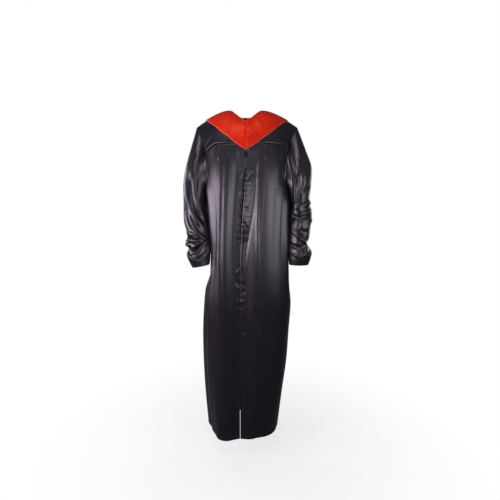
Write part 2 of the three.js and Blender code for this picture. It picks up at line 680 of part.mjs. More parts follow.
const [chainTop, chainEnd] = chainEnds;
addPiece('zip_slider', sliderGeometry(chainTop), zipMetal);
addPiece('zip_pull', pullGeometry(chainTop), zipMetal);
addPiece('zip_stop', box(
  2 * CHAIN_HALF_WIDTH,
  CHAIN_PROUD + TAPE_DEPTHS[1],
  STOP_HEIGHT,
  chainEnd.x,
  chainEnd.y + (TAPE_DEPTHS[1] - CHAIN_PROUD) / 2,
  chainEnd.z - RUNNING_GAP - STOP_HEIGHT / 2,
), zipMetal);

export default gown;
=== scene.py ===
import math
import bmesh
import bpy
import numpy as np
from mathutils import Matrix, Vector


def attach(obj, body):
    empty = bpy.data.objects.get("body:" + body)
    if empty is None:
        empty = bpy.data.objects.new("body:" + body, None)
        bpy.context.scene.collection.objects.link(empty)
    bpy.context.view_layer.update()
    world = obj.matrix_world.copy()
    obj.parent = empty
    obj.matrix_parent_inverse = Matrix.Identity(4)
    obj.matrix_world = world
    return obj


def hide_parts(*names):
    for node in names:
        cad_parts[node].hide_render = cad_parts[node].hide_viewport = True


# Graduation gown in black satin with a red V collar. Metres where Blender is spoken to; the cloth's own
# shapes are drawn in millimetres, with the same origin and axes as the frame, and scaled as they are made.
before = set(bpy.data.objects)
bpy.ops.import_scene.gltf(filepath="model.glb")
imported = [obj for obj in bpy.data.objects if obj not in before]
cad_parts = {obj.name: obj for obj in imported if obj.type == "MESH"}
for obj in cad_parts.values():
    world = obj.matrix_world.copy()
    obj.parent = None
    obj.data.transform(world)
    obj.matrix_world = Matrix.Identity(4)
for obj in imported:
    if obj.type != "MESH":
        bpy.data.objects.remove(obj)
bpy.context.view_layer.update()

# ---- Front panels ----
# The two fronts are single lengths of black satin from the yoke to the hem, gathered into the yoke's
# seam and hanging in long soft folds on either side of the zip. They stand forward of the arms in a
# rounded corner fold.
MM = 0.001
SIDES = {
    "right": {"sign": -1, "shoulder": 204, "seam_end": 179, "seam_turn": 34, "collar_out": 166},
    "left": {"sign": 1, "shoulder": 214, "seam_end": 153, "seam_turn": 48, "collar_out": 174},
}
HEM_DROP, UNDERARM_DROP, YOKE_SEAM_DROP, BACK_YOKE_DROP = 1363, 320, 148, 196
TORSO = (0, 0, -600)

# Level sections: drop, half width to the right and to the left, front and back depth, and the powers
# that square off the front and the back.
BODY = [
    (140, 176, 178, 108, 100, 2.5, 2.4),
    (240, 164, 170, 113, 108, 2.9, 2.5),
    (320, 154, 163, 114, 111, 3.1, 2.5),
    (450, 145, 161, 113, 109, 3.1, 2.5),
    (570, 143, 166, 112, 112, 3.0, 2.5),
    (680, 152, 180, 112, 118, 2.8, 2.4),
    (793, 165, 189, 113, 124, 2.6, 2.3),
    (927, 173, 181, 114, 127, 2.4, 2.2),
    (1062, 172, 172, 116, 128, 2.3, 2.2),
    (1200, 166, 154, 117, 129, 2.2, 2.2),
    (1363, 153, 134, 117, 130, 2.1, 2.1),
]

# The largest folds, a little softer than the frame's: angle from the centre front, half width in degrees,
# how far out, the drops it runs between, and how long it takes to rise and to die away.
BODY_FOLDS = [
    (0, 24, -15, 150, 1500, 120, 120),
    (-66, 24, 15, 215, 760, 120, 320),
    (-58, 12, 6, 560, 1000, 120, 120),
    (-80, 10, -7, 640, 1000, 80, 80),
    (-105, 24, 24, 640, 1500, 120, 120),
    (-36, 14, 2, 150, 1500, 90, 90),
    (-30, 30, 14, 1000, 1600, 300, 300),
    (64, 24, 24, 262, 800, 130, 290),
    (30, 26, -10, 1000, 1600, 300, 300),
    (13, 9, 3, 170, 900, 120, 120),
    (40, 14, 2, 150, 1500, 90, 90),
    (98, 16, 8, 700, 1500, 120, 120),
    (180, 12, -8, 110, 1600, 340, 130),
    (155, 12, 10, 110, 1600, 340, 130),
    (-155, 12, 9, 110, 1600, 340, 130),
    (130, 12, -6, 130, 1600, 340, 130),
    (-130, 12, -6, 130, 1600, 340, 130),
    (112, 10, 8, 420, 1600, 150, 150),
]

# The armhole's edge on the body: drop, and its angle from the centre front on the front and the back.
ARMHOLE = [(140, 79, 106), (195, 72, 110), (240, 64, 113), (285, 68, 109), (320, 90, 90)]


def lerp(a, b, t):
    return a + (b - a) * t


def smoothstep(x, low, high):
    t = np.clip((x - low) / (high - low), 0, 1)
    return t * t * (3 - 2 * t)


def read_table(rows, at):
    """Every column after the first, read at one value of the first on a smooth curve."""
    table = np.array(rows, float)
    key = table[:, 0]
    last = len(key) - 1
    below, above = np.maximum(np.arange(last + 1) - 1, 0), np.minimum(np.arange(last + 1) + 1, last)
    slope = (table[above] - table[below]) / (key[above] - key[below])[:, None]
    at = np.asarray(at, float)
    i = np.clip(np.searchsorted(key, at, "right") - 1, 0, last - 1)
    span = key[i + 1] - key[i]
    t = np.clip((at - key[i]) / span, 0, 1)[..., None]
    start, end, span = slope[i] * span[..., None], slope[i + 1] * span[..., None], span[..., None]
    rise = table[i + 1] - table[i]
    found = table[i] + start * t + (3 * rise - 2 * start - end) * t**2 + (start + end - 2 * rise) * t**3
    return [found[..., k] for k in range(1, table.shape[1])]


def body_point(angle, drop):
    """A point on the outside of the body. Angle 0 is the zip's line, which drifts to the right."""
    angle, drop = np.broadcast_arrays(np.asarray(angle, float), np.asarray(drop, float))
    right, left, front, back, front_power, back_power = read_table(BODY, drop)
    side, ahead = np.sin(np.radians(angle)), np.cos(np.radians(angle))
    square = 2 / np.where(ahead > 0, front_power, back_power)
    x = np.where(side < 0, right, left) * np.sign(side) * np.abs(side) ** square
    y = -np.where(ahead > 0, front, back) * np.sign(ahead) * np.abs(ahead) ** square
    out = np.zeros_like(x)
    for centre, half, height, top, bottom, fade_in, fade_out in BODY_FOLDS:
        away = np.abs((angle - centre + 540) % 360 - 180) / half
        along = smoothstep(drop, top, top + fade_in) * (1 - smoothstep(drop, bottom - fade_out, bottom))
        out += np.where(away < 1, height * np.cos(np.minimum(away, 1) * math.pi / 2) ** 2 * along, 0)
    grow = 1 + out / np.hypot(x, y)
    drift = -24 * smoothstep(drop, 170, 650) * np.maximum(ahead, 0) ** 3
    return np.stack([x * grow + drift, y * grow, -drop], axis=-1)


def angle_across(distance, drop, side):
    """The angle at which the body's outline is a distance to the side of the zip's line."""
    right, left, _, _, power, _ = read_table(BODY, drop)
    return np.degrees(np.arcsin((distance / (right if side == "right" else left)) ** (power / 2)))


def front_seam_drop(side, angle):
    s = SIDES[side]
    return lerp(YOKE_SEAM_DROP, s["seam_end"], smoothstep(angle, s["seam_turn"], 72))


def even_columns(make_points, columns):
    """Shares 0 to 1 that divide each row of a surface into columns of equal width, and the widths."""
    shares = np.linspace(0, 1, 240)
    fine = make_points(np.broadcast_to(shares, (make_points.rows, 240)))
    run = np.concatenate([
        np.zeros((make_points.rows, 1)),
        np.cumsum(np.linalg.norm(np.diff(fine, axis=1), axis=-1), axis=1),
    ], axis=1)
    steps = np.linspace(0, 1, columns)
    placed = np.array([np.interp(steps * row[-1], row, shares) for row in run])
    return placed, steps[None, :] * run[:, -1:]


def outward(points, inside):
    """Unit normals of a grid of points, on the side away from a point inside the hollow."""
    normal = np.cross(np.gradient(points, axis=1), np.gradient(points, axis=0))
    normal /= np.maximum(np.linalg.norm(normal, axis=-1, keepdims=True), 1e-9)
    return normal * (1 if np.sum(normal * (points - np.array(inside, float))) > 0 else -1)


def crease_height(across, down, creases):
    """Height of listed folds. Each has a half width, a height, how sharp its crest is, 0 to 1, and
    the places (across, down) that it runs through; it dies away towards both ends."""
    height = np.zeros_like(across)
    for half, out, sharp, places in creases:
        path = np.array(places, float)
        run = np.concatenate([[0], np.cumsum(np.hypot(*np.diff(path, axis=0).T))])
        count = max(int(run[-1] / (half * 0.4)), 8)
        xs, ys = read_table([(r, *p) for r, p in zip(run, path)], np.linspace(0, run[-1], count))
        reach = np.zeros_like(across)
        for i, (x, y) in enumerate(zip(xs, ys)):
            away = np.hypot(across - x, down - y) / half
            near = away < 1
            end = min(i, count - 1 - i) / (count - 1) * 2
            taper = math.sin(min(end * 1.6, 1) * math.pi / 2)
            a = away[near]
            bell = sharp * (1 - a) ** 2 + (1 - sharp) * (1 - a * a) ** 2
            reach[near] = np.maximum(reach[near], bell * taper)
        height += out * reach
    return height


def cloth_piece(name, points, size, thick, material, wrap=False):
    """A sheet of cloth through a grid of points in millimetres. UVs are the cloth's own size in metres."""
    rows, columns = points.shape[:2]
    bm = bmesh.new()
    cloth_map = bm.loops.layers.uv.new("cloth")
    bmesh.ops.create_grid(bm, x_segments=columns - 1, y_segments=rows - 1, size=1, calc_uvs=True)
    bm.verts.ensure_lookup_table()
    for vert, place in zip(bm.verts, points.reshape(-1, 3) * MM):
        vert.co = place
    for face in bm.faces:
        face.smooth = True
        for loop in face.loops:
            loop[cloth_map].uv = (loop[cloth_map].uv[0] * size[0], loop[cloth_map].uv[1] * size[1])
    if wrap:
        ends = [v for v in bm.verts if v.is_boundary]
        bmesh.ops.remove_doubles(bm, verts=ends, dist=1e-6)
    bm.normal_update()
    mesh = bpy.data.meshes.new(name)
    bm.to_mesh(mesh)
    bm.free()
    mesh.materials.append(material)
    piece = bpy.data.objects.new(name, mesh)
    bpy.context.scene.collection.objects.link(piece)
    if thick:
        wall = piece.modifiers.new("cloth thickness", "SOLIDIFY")
        wall.thickness = thick * MM
        wall.offset = -1
    return piece


def face_out(points, inside):
    """The grid with its rows turned over if its faces would point into the hollow."""
    normal = np.cross(np.gradient(points, axis=1), np.gradient(points, axis=0))
    return points if np.sum(normal * (points - np.array(inside, float))) > 0 else points[:, ::-1]


def add_nodes(tree):
    """A short way to add a node: its type, settings, and values or links for its inputs."""
    def add(kind, inputs=None, **settings):
        made = tree.nodes.new(kind)
        for key, value in settings.items():
            setattr(made, key, value)
        for key, value in (inputs or {}).items():
            if isinstance(value, bpy.types.NodeSocket):
                tree.links.new(value, made.inputs[key])
            else:
                made.inputs[key].default_value = value
        return made
    return add


def satin_weave_group():
    """Height and tone of a satin: long warp floats tied down once in five, and uneven weft threads."""
    tree = bpy.data.node_groups.new("satin weave", "ShaderNodeTree")
    for title, kind in (("Cloth", "NodeSocketVector"), ("Threads per metre", "NodeSocketFloat")):
        tree.interface.new_socket(title, in_out="INPUT", socket_type=kind)
    for title in ("Weave", "Slub", "Crumple"):
        tree.interface.new_socket(title, in_out="OUTPUT", socket_type="NodeSocketFloat")
    add = add_nodes(tree)
    given = add("NodeGroupInput").outputs
    result = add("NodeGroupOutput")
    threads = add("ShaderNodeVectorMath", {0: given["Cloth"], "Scale": given["Threads per metre"]},
                  operation="SCALE").outputs["Vector"]
    split = add("ShaderNodeSeparateXYZ", {0: threads}).outputs
    warp = add("ShaderNodeMath", {0: split["X"]}, operation="FLOOR").outputs[0]
    weft = add("ShaderNodeMath", {0: split["Y"]}, operation="FLOOR").outputs[0]
    order = add("ShaderNodeMath", {0: warp, 1: 2.0, 2: weft}, operation="MULTIPLY_ADD").outputs[0]
    fifth = add("ShaderNodeMath", {0: order, 1: 0.2}, operation="MULTIPLY").outputs[0]
    turn = add("ShaderNodeMath", {0: fifth}, operation="FRACT").outputs[0]
    tie = add("ShaderNodeMath", {0: turn, 1: 0.1}, operation="LESS_THAN").outputs[0]
    across = add("ShaderNodeMath", {0: split["X"]}, operation="FRACT").outputs[0]
    thread = add("ShaderNodeMath", {0: across, 1: 1.0}, operation="PINGPONG").outputs[0]
    round_thread = add("ShaderNodeMath", {0: thread, 1: math.pi}, operation="MULTIPLY").outputs[0]
    crest = add("ShaderNodeMath", {0: round_thread}, operation="SINE").outputs[0]
    weave = add("ShaderNodeMath", {0: tie, 1: -0.7, 2: crest}, operation="MULTIPLY_ADD").outputs[0]
    tree.links.new(weave, result.inputs["Weave"])
    stretched = add("ShaderNodeMapping", {"Vector": given["Cloth"], "Scale": (60, 1400, 1)}).outputs[0]
    slub = add("ShaderNodeTexNoise", {"Vector": stretched, "Scale": 1.0, "Detail": 2.0}).outputs[0]
    tree.links.new(slub, result.inputs["Slub"])
    drawn = add("ShaderNodeMapping", {"Vector": given["Cloth"], "Scale": (34, 7, 1)}).outputs[0]
    crumple = add("ShaderNodeTexNoise", {"Vector": drawn, "Scale": 1.0, "Detail": 3.0,
                                         "Roughness": 0.45}).outputs[0]
    tree.links.new(crumple, result.inputs["Crumple"])
    return tree


satin_weave = satin_weave_group()


def satin(name, deep, lit, rough, crumple, gleam, sheen, tint):
    """A satin of two tones that its threads vary between. Its gleam and sheen take the dye's tint."""
    material = bpy.data.materials.new(name)
    material.use_nodes = True
    tree = material.node_tree
    tree.nodes.clear()
    add = add_nodes(tree)
    cloth = add("ShaderNodeTexCoord").outputs["UV"]
    woven = add("ShaderNodeGroup", {}, node_tree=satin_weave)
    tree.links.new(cloth, woven.inputs["Cloth"])
    woven.inputs["Threads per metre"].default_value = 2600
    tone = add("ShaderNodeMix", {"Factor": woven.outputs["Slub"]}, data_type="RGBA")
    tone.inputs["A"].default_value = (*deep, 1)
    tone.inputs["B"].default_value = (*lit, 1)
    gloss = add("ShaderNodeMapRange", {"Value": woven.outputs["Slub"], "To Min": rough - 0.04,
                                       "To Max": rough + 0.05}).outputs[0]
    creased = add("ShaderNodeBump", {"Height": woven.outputs["Crumple"], "Strength": crumple,
                                     "Distance": 0.004}).outputs[0]
    threaded = add("ShaderNodeBump", {"Height": woven.outputs["Weave"], "Strength": 0.12,
                                      "Distance": 0.0002, "Normal": creased}).outputs[0]
    floats = add("ShaderNodeTangent", direction_type="UV_MAP", uv_map="cloth").outputs[0]
    shader = add("ShaderNodeBsdfPrincipled", {
        "Base Color": tone.outputs["Result"], "Roughness": gloss, "Normal": threaded,
        "Anisotropic": 0.6, "Anisotropic Rotation": 0.0,
        "Tangent": floats, "Specular IOR Level": gleam, "Specular Tint": (*tint, 1), "Sheen Weight": sheen,
        "Sheen Roughness": 0.35, "Sheen Tint": (*tint, 1),
    })
    result = add("ShaderNodeOutputMaterial")
    tree.links.new(shader.outputs[0], result.inputs["Surface"])
    return material


black_satin = satin("black satin", (0.006, 0.005, 0.007), (0.012, 0.010, 0.013), 0.35, 0.12, 0.75, 0.08,
                    (0.99, 0.91, 1.0))

# Folds of each front: half width, height, sharpness, and places as (distance from the zip, drop).
FRONT_CREASES = {
    "right": [
        (11, 3.0, 0.6, [(99, 215), (97, 330), (92, 470), (88, 640), (84, 850), (82, 960)]),
        (16, 1.5, 0.1, [(64, 190), (64, 420), (56, 700), (50, 1000)]),
        (13, -1.5, 0.1, [(36, 200), (38, 420), (32, 700)]),
        (7, 1.6, 0.4, [(78, 200), (77, 300), (74, 420)]),
        (16, 2.5, 0.1, [(30, 760), (36, 1000), (34, 1300)]),
        (5, 3.2, 0.5, [(107, 158), (106, 186), (104, 214)]),
        (5, 2.0, 0.5, [(62, 152), (61, 178), (60, 206)]),
        (7, 2.2, 0.3, [(126, 800), (122, 900), (120, 1010)]),
        (9, -2.5, 0.2, [(138, 790), (134, 900), (132, 1040)]),
    ],
    "left": [
        (10, 3.4, 0.7, [(48, 215), (54, 328), (60, 440), (69, 564), (74, 680)]),
        (42, 10, 0.2, [(3, 225), (3, 320), (2, 400), (0, 520)]),
        (20, 3, 0.2, [(2, 240), (4, 340), (2, 520), (0, 720)]),
        (12, -3, 0.3, [(44, 180), (44, 320), (36, 430), (22, 560), (10, 680)]),
        (4.5, 2.6, 0.5, [(26, 385), (20, 460), (15, 540), (12, 620), (9, 720), (8, 830)]),
        (26, 2, 0.1, [(104, 230), (108, 420), (116, 640), (120, 860)]),
        (7, 2.4, 0.5, [(158, 180), (160, 300), (164, 460), (170, 640), (172, 760)]),
        (5, 3.0, 0.5, [(73, 158), (74, 184), (76, 210)]),
        (5, 2.8, 0.5, [(150, 160), (151, 186), (152, 220)]),
        (9, 3.0, 0.3, [(38, 780), (52, 840), (76, 910), (100, 980)]),
        (9, 2.6, 0.3, [(10, 885), (24, 950), (46, 1030)]),
        (16, 2.5, 0.1, [(60, 900), (66, 1100), (60, 1320)]),
        (12, -2.5, 0.1, [(30, 1010), (34, 1180), (32, 1340)]),
    ],
}


FRONT_COLUMNS, FRONT_ROW_STEP, FRONT_MM_PER_DEGREE = 68, 4.2, 2.6
GATHERED_WIDTH, PUCKER_REACH = 175, {"right": 13, "left": 26}
HEM_DEPTH = 16


def gathers(width, top, seed):
    """Small tucks where the gathered cloth leaves the yoke's seam, uneven in length and depth."""
    random = np.random.default_rng(seed)
    made = []
    across = 9.0
    while across < width - 8:
        length = random.choice([12, 18, 26, 40, 70]) * random.uniform(0.8, 1.2)
        lean = random.uniform(-3, 3)
        seam = top(across)
        middle, end = (across + lean * 0.4, seam + length * 0.45), (across + lean, seam + length)
        places = [(across, seam - 14), middle, end]
        made.append((random.uniform(3.4, 5.6), random.uniform(0.4, 1.3), 0.3, places))
        across += random.uniform(7, 15)
    return made


def hem_ridge(drop):
    """The hem is turned up and stitched: a shallow groove at the stitches, and a fuller edge."""
    below = drop - (HEM_DROP - HEM_DEPTH)
    return -0.5 * np.exp(-((below / 3.5) ** 2)) + 0.4 * smoothstep(below, 2, 9)


def zip_puckers(stretches, seed):
    """Short ripples in the cloth beside the zip, where the tape has drawn it up."""
    random = np.random.default_rng(seed)
    made = []
    for top, bottom, reach in stretches:
        drop = top
        while drop < bottom:
            near, far = random.uniform(-4, reach * 0.4), reach * random.uniform(0.6, 1.1)
            lean = random.uniform(-34, 40)
            places = [(near, drop), ((near + far) / 2, drop + lean * 0.3), (far, drop + lean)]
            made.append((random.uniform(5, 10), random.uniform(-3.4, 3.4), 0.2, places))
            drop += random.uniform(16, 52)
    return made


def front_surface(side, columns, row_step):
    """Points of a front in millimetres, and each one's distance from the zip along the cloth."""
    s = SIDES[side]
    sign, seam_end = s["sign"], s["seam_end"]
    upper = np.linspace(seam_end, UNDERARM_DROP, int((UNDERARM_DROP - seam_end) / row_step) + 1)
    lower = np.linspace(UNDERARM_DROP, HEM_DROP, int((HEM_DROP - UNDERARM_DROP) / row_step) + 1)[1:]
    level = np.concatenate([upper, lower])[:, None]
    done = np.clip((level - seam_end) / (UNDERARM_DROP - seam_end), 0, 1)
    edge = np.where(level < UNDERARM_DROP, read_table(ARMHOLE, level)[0], 90)
    seam_edge = read_table(ARMHOLE, seam_end)[0]

    def make_points(share):
        drop = level + (front_seam_drop(side, share * seam_edge) - seam_end) * (1 - done)
        start = angle_across(1.4 - 0.5 * smoothstep(drop, 1150, 1200), drop, side)
        return body_point(sign * lerp(start, edge, share), drop)

    make_points.rows = len(level)
    share, across = even_columns(make_points, columns)
    return make_points(share), across



def front_seam_at(side):
    """The drop of a front's upper seam, as a function of the distance from the zip."""
    return lambda distance: front_seam_drop(side, min(distance / FRONT_MM_PER_DEGREE, 72))


front_grids = {}
for side, seed in (("right", 3), ("left", 8)):
    points, across = front_surface(side, FRONT_COLUMNS, FRONT_ROW_STEP)
    reach = PUCKER_REACH[side]
    puckers = zip_puckers([(262, 560, reach), (620, 960, reach * 0.8)], seed)
    folds = FRONT_CREASES[side] + gathers(GATHERED_WIDTH, front_seam_at(side), seed) + puckers
    height = crease_height(across, -points[..., 2], folds) + hem_ridge(-points[..., 2])
    points = points + outward(points, TORSO) * height[..., None]
    front_grids[side] = (points, across)
    size = (0.27, 1.215)
    front = cloth_piece(f"front_{side}_cloth", face_out(points, TORSO), size, 1.0, black_satin)
    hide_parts(f"front_{side}")
    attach(front, "gown")

# ---- Yokes ----
# The yoke is the smooth, ungathered top of the gown: two fronts and one back, cut flat from the same
# satin and joined along the shoulders. Its lower edge is turned under and stitched over the gathers.
NECK_HALF_WIDTH, NECK_FRONT_DROP, NECK_BACK_DROP = 66, 61, 16
SHOULDER_DROP, SHOULDER_CURVE = 65, 1.55
SHOULDERS = (0, 0, -260)
YOKE_COLUMNS, YOKE_ROWS = 76, 42


def yoke_profile(side, face, across):
    """A yoke's arch: its point on the yoke seam, that seam's drop, and its point on the shoulder line.
    across is 0 at the centre, 1 at the neck point and 2 at the armhole."""
    s = SIDES[side]
    end_drop = s["seam_end"] if face == "front" else BACK_YOKE_DROP
    ahead_edge, behind_edge = read_table(ARMHOLE, end_drop)
    edge = ahead_edge if face == "front" else 180 - behind_edge
    neck_angle = edge * 0.25
    turn = np.where(across < 1, neck_angle * across, lerp(neck_angle, edge, across - 1))
    drop = front_seam_drop(side, turn) if face == "front" else np.full_like(turn, BACK_YOKE_DROP)
    seam = body_point(s["sign"] * (turn if face == "front" else 180 - turn), drop)
    top_x = np.where(across < 1, NECK_HALF_WIDTH * across, lerp(NECK_HALF_WIDTH, s["shoulder"], across - 1))
    top_drop = np.maximum(across - 1, 0) ** SHOULDER_CURVE * SHOULDER_DROP
    return seam, drop, s["sign"] * top_x, top_drop


def yoke_point(side, face, across, up):
    """A point on a yoke: up is 0 at its seam and 1 on the shoulder line, and below 0 goes straight down."""
    across, up = np.broadcast_arrays(np.asarray(across, float), np.asarray(up, float))
    seam, drop, top_x, top_drop = yoke_profile(side, face, across)
    rise, reach = np.sin(np.maximum(up, 0) * math.pi / 2), np.cos(np.maximum(up, 0) * math.pi / 2)
    z = np.where(up < 0, -drop * (1 - up), lerp(-drop, -top_drop, rise))
    return np.stack([lerp(seam[..., 0], top_x, rise**1.5), seam[..., 1] * reach, z], axis=-1)


def up_at_drop(side, face, across, drop):
    _, seam_drop, _, top_drop = yoke_profile(side, face, across)
    above = np.arcsin(np.clip((seam_drop - drop) / (seam_drop - top_drop), 0, 1)) * 2 / math.pi
    return np.where(drop > seam_drop, 1 - drop / seam_drop, above)


def neck_up(side, face, across):
    """Where the neckline cuts the arch: a V in front, a shallow curve behind."""
    near = np.minimum(across, 1)
    drop = NECK_FRONT_DROP * (1 - near) if face == "front" else NECK_BACK_DROP * (1 - near**2)
    return np.where(across >= 1, 1.0, up_at_drop(side, face, across, drop))


def yoke_surface(side, face):
    across = np.linspace(0, 2, YOKE_COLUMNS)[None, :]
    up = neck_up(side, face, across) * (1 - np.linspace(0, 1, YOKE_ROWS)[:, None])
    return yoke_point(side, face, across, up)


def seam_ridge(height):
    """The turned-under edge of a yoke, along its lower rows, stands a little proud of what it covers."""
    from_edge = np.arange(YOKE_ROWS)[::-1]
    return height * np.exp(-((from_edge / 3.2) ** 2))[:, None]


# The right yoke is pinched in a tuck where it meets the armhole. Places are (column, row).
YOKE_CREASES = {
    "right": [
        (2.6, 2.0, 0.4, [(47, 40), (55, 40), (64, 40), (73, 40)]),
        (3.2, -1.6, 0.3, [(51, 34), (60, 35), (71, 36)]),
        (5, 1.6, 0.3, [(20, 34), (27, 27), (35, 20)]),
    ],
    "left": [
        (6, 1.6, 0.3, [(24, 34), (34, 26), (44, 21)]),
        (6, 1.5, 0.3, [(66, 30), (58, 24), (52, 14)]),
        (8, -1.2, 0.2, [(70, 8), (62, 20), (60, 32)]),
    ],
}
yoke_grids = {}
for side in SIDES:
    points = yoke_surface(side, "front")
    column, row = np.meshgrid(np.arange(float(YOKE_COLUMNS)), np.arange(float(YOKE_ROWS)))
    height = crease_height(column, row, YOKE_CREASES[side]) + seam_ridge(0.3)
    points = points + outward(points, SHOULDERS) * height[..., None]
    yoke_grids[side] = points
    size = (0.23, 0.17)
    yoke = cloth_piece(f"yoke_front_{side}_cloth", face_out(points, SHOULDERS), size, 1.2, black_satin)
    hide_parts(f"yoke_front_{side}")
    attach(yoke, "gown")

right, left = yoke_surface("right", "back"), yoke_surface("left", "back")
points = np.concatenate([right[:, :0:-1], left], axis=1)
points = points + outward(points, SHOULDERS) * seam_ridge(0.4)[..., None]
yoke_grids["back"] = points
yoke_back = cloth_piece("yoke_back_cloth", face_out(points, SHOULDERS), (0.45, 0.22), 1.2, black_satin)
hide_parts("yoke_back")
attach(yoke_back, "gown")

# ---- Back panel ----
# One wide length of the same satin, gathered into the back yoke and joined to the fronts at the side
# seams. It falls in longer, looser folds than the fronts, the deepest down its middle.
BACK_CREASES = [
    (14, 5, 0.3, [(-98, 182), (-102, 420), (-112, 800), (-118, 1300)]),
    (12, -4, 0.2, [(-52, 182), (-48, 460), (-44, 900), (-42, 1340)]),
    (15, 6, 0.3, [(-16, 182), (-12, 420), (-8, 760), (-2, 1340)]),
    (13, -4, 0.2, [(52, 182), (48, 500), (52, 1000)]),
    (14, 5, 0.4, [(82, 182), (90, 460), (96, 900), (102, 1340)]),
    (12, 4, 0.3, [(-152, 330), (-158, 560), (-164, 900)]),
    (12, 4, 0.3, [(144, 330), (150, 600), (156, 980)]),
]


def back_surface(columns, row_step):
    """Points of the back, from the right side seam to the left, and each one's distance from its middle."""
    upper = np.arange(BACK_YOKE_DROP, UNDERARM_DROP, row_step)
    drop = np.concatenate([upper, np.arange(UNDERARM_DROP, HEM_DROP + 1, row_step)])[:, None]
    drop[-1] = HEM_DROP
    edge = np.where(drop < UNDERARM_DROP, read_table(ARMHOLE, drop)[1], 90)

    def make_points(share):
        return body_point(lerp(-edge, edge - 360, share), drop)

    make_points.rows = len(drop)
    share, across = even_columns(make_points, columns)
    return make_points(share), across - across[:, -1:] / 2


BACK_COLUMNS, BACK_ROW_STEP = 112, 4.6
points, across = back_surface(BACK_COLUMNS, BACK_ROW_STEP)
half_width = across[0, -1]
tucks = gathers(2 * half_width, lambda distance: BACK_YOKE_DROP, 21)
folds = BACK_CREASES + [(w, h, k, [(x - half_width, d) for x, d in places]) for w, h, k, places in tucks]
height = crease_height(across, -points[..., 2], folds) + hem_ridge(-points[..., 2])
points = points + outward(points, TORSO) * height[..., None]
back_grid = points
back = cloth_piece("back_cloth", face_out(points, TORSO), (0.5, 1.167), 1.0, black_satin)
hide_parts("back")
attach(back, "gown")

# ---- Sleeves ----
# Long set-in sleeves of the same satin, cut wide and drawn in at the wrist, so that the spare length
# bunches on the forearm. Each is one tube, seamed into the armhole and hemmed at the cuff.
# Sections: step from the armhole, outer point's x and drop, inner point's x and drop, half depth, y.
SLEEVES = {
    "right": [
        (0, 204, 65, 154, 320, 76, 0),
        (1, 217, 112, 161, 346, 76, -2),
        (2, 233, 166, 162, 373, 73, -7),
        (3, 250, 226, 160, 402, 69, -13),
        (4, 261, 296, 153, 432, 65, -20),
        (5, 260, 370, 149, 466, 61, -28),
        (6, 257, 448, 148, 502, 56, -38),
        (7, 241, 506, 147, 536, 51, -46),
        (8, 251, 534, 147, 556, 52, -50),
        (9, 237, 559, 147, 575, 47, -53),
        (10, 244, 586, 147, 595, 47, -56),
        (11, 236, 612, 148, 614, 42, -59),
        (12, 221, 641, 150, 628, 37, -62),
    ],
    "left": [
        (0, 214, 65, 163, 320, 76, 0),
        (1, 231, 110, 170, 346, 79, -2),
        (2, 250, 162, 172, 373, 76, -6),
        (3, 274, 232, 171, 402, 70, -11),
        (4, 271, 310, 170, 432, 65, -17),
        (5, 264, 374, 170, 466, 61, -24),
        (6, 274, 412, 171, 500, 60, -33),
        (7, 268, 474, 172, 534, 54, -41),
        (8, 261, 520, 173, 556, 50, -46),
        (9, 254, 542, 174, 574, 46, -50),
        (10, 269, 578, 176, 592, 48, -53),
        (11, 267, 604, 177, 610, 44, -56),
        (12, 258, 630, 179, 630, 38, -58),
    ],
}


def armhole_loop(side, place):
    """The armhole's edge, with place from 0 at the shoulder point: down the front to 9 at the underarm,
    and up the back to 18."""
    s = SIDES[side]
    front = yoke_point(side, "front", 2, 1 - np.clip(place / 4, 0, 1))
    drop = lerp(s["seam_end"], UNDERARM_DROP, np.clip((place - 4) / 5, 0, 1))
    panel = body_point(s["sign"] * np.where(drop < 319.9, read_table(ARMHOLE, drop)[0], 90), drop)
    drop = lerp(BACK_YOKE_DROP, UNDERARM_DROP, np.clip((14 - place) / 5, 0, 1))
    behind = body_point(s["sign"] * np.where(drop < 319.9, read_table(ARMHOLE, drop)[1], 90), drop)
    back_yoke = yoke_point(side, "back", 2, np.clip((place - 14) / 4, 0, 1))
    pick = place[:, None]
    return np.where(pick < 4, front, np.where(pick < 9, panel, np.where(pick < 14, behind, back_yoke)))


def sleeve_point(side, step, angle):
    """A point on the sleeve's tube. Angle 0 is the outer line and a quarter turn on is the front."""
    outer_x, outer_drop, inner_x, inner_drop, depth, y = read_table(SLEEVES[side], step)
    sign = SIDES[side]["sign"]
    outer = np.stack([sign * outer_x, y, -outer_drop], axis=-1)
    inner = np.stack([sign * inner_x, y, -inner_drop], axis=-1)
    point = (outer + inner) / 2 + (outer - inner) * (np.cos(angle) / 2)[..., None]
    point[..., 1] -= depth * np.sin(angle)
    return point


def sleeve_surface(side, columns, rings):
    """Points of a sleeve, with each one's distance outwards from its front line and along its length."""
    place = np.linspace(0, 18, columns)
    angle = np.broadcast_to(place / 18 * 2 * math.pi, (rings, columns))
    step = np.broadcast_to(np.linspace(0, 12, rings)[:, None], (rings, columns))
    edge = armhole_loop(side, np.minimum(place, 17.9999) % 18)
    edge[-1] = edge[0]
    pull = edge - sleeve_point(side, np.zeros(columns), angle[0])
    head = np.maximum(1 - step / 3, 0)[..., None] ** 2
    points = sleeve_point(side, step, angle) + pull * head
    middle = points.mean(axis=1)
    along = np.concatenate([[0], np.cumsum(np.linalg.norm(np.diff(middle, axis=0), axis=1))])
    girth = np.linalg.norm(np.diff(points, axis=1), axis=-1).sum(axis=1)
    out = (math.pi / 2 - angle) / (2 * math.pi) * girth[:, None]
    return points, out, np.broadcast_to(along[:, None], out.shape)


